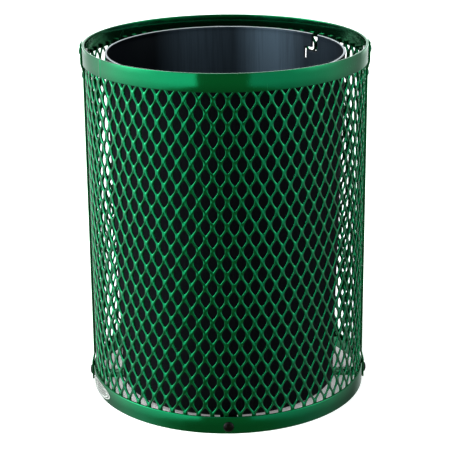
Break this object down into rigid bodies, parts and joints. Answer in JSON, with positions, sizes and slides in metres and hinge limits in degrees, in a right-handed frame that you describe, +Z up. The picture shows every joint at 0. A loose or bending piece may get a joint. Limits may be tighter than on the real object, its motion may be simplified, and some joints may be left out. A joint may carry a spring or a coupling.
{
  "type": "outdoor litter bin",
  "caption": "Round open-top outdoor litter bin: expanded-metal basket between flat-bar hoops with bolted side uprights, crossed base bars and a lift-out tapered plastic liner.",
  "frame": {"origin": "centre of the bin on the floor", "axes": "+Z up along the bin's axis; -Y is the front; the uprights stand at -X and +X"},
  "size_m": [0.6302, 0.6216, 0.775],
  "materials": {
    "green_plastisol": "thick glossy dark green thermoplastic coating over steel",
    "black_oxide_steel": "black oxide bolt heads, satin",
    "zinc_plated_steel": "zinc-plated nuts and washers",
    "black_polyethylene": "moulded black polyethylene, semi-gloss",
    "anodised_plate": "blank pale anodised plate"
  },
  "bodies": {
    "basket": {"top_hoop": "green_plastisol", "bottom_hoop": "green_plastisol", "mesh_front": "green_plastisol", "mesh_back": "green_plastisol", "upright_left": "green_plastisol", "upright_right": "green_plastisol", "base_bar_long": "green_plastisol", "base_bar_cross": "green_plastisol", "base_rivet": "zinc_plated_steel", "base_bolt_front": "black_oxide_steel", "base_bolt_back": "black_oxide_steel", "base_bolt_left": "black_oxide_steel", "base_bolt_right": "black_oxide_steel", "base_nut_front": "zinc_plated_steel", "base_nut_back": "zinc_plated_steel", "base_nut_left": "zinc_plated_steel", "base_nut_right": "zinc_plated_steel", "hoop_bolt_left": "black_oxide_steel", "hoop_bolt_right": "black_oxide_steel", "hoop_nut_left": "zinc_plated_steel", "hoop_nut_right": "zinc_plated_steel", "sheet_bolt_left": "black_oxide_steel", "sheet_bolt_right": "black_oxide_steel", "sheet_washer_left": "zinc_plated_steel", "sheet_washer_right": "zinc_plated_steel", "sheet_nut_left": "zinc_plated_steel", "sheet_nut_right": "zinc_plated_steel", "label_plate": "anodised_plate"},
    "liner": {"liner": "black_polyethylene"}
  },
  "joints": [
    {"name": "liner_lift", "type": "slide", "parent": "basket", "child": "liner", "axis": [0, 0, 1], "range_m": [0, 0.8]}
  ]
}
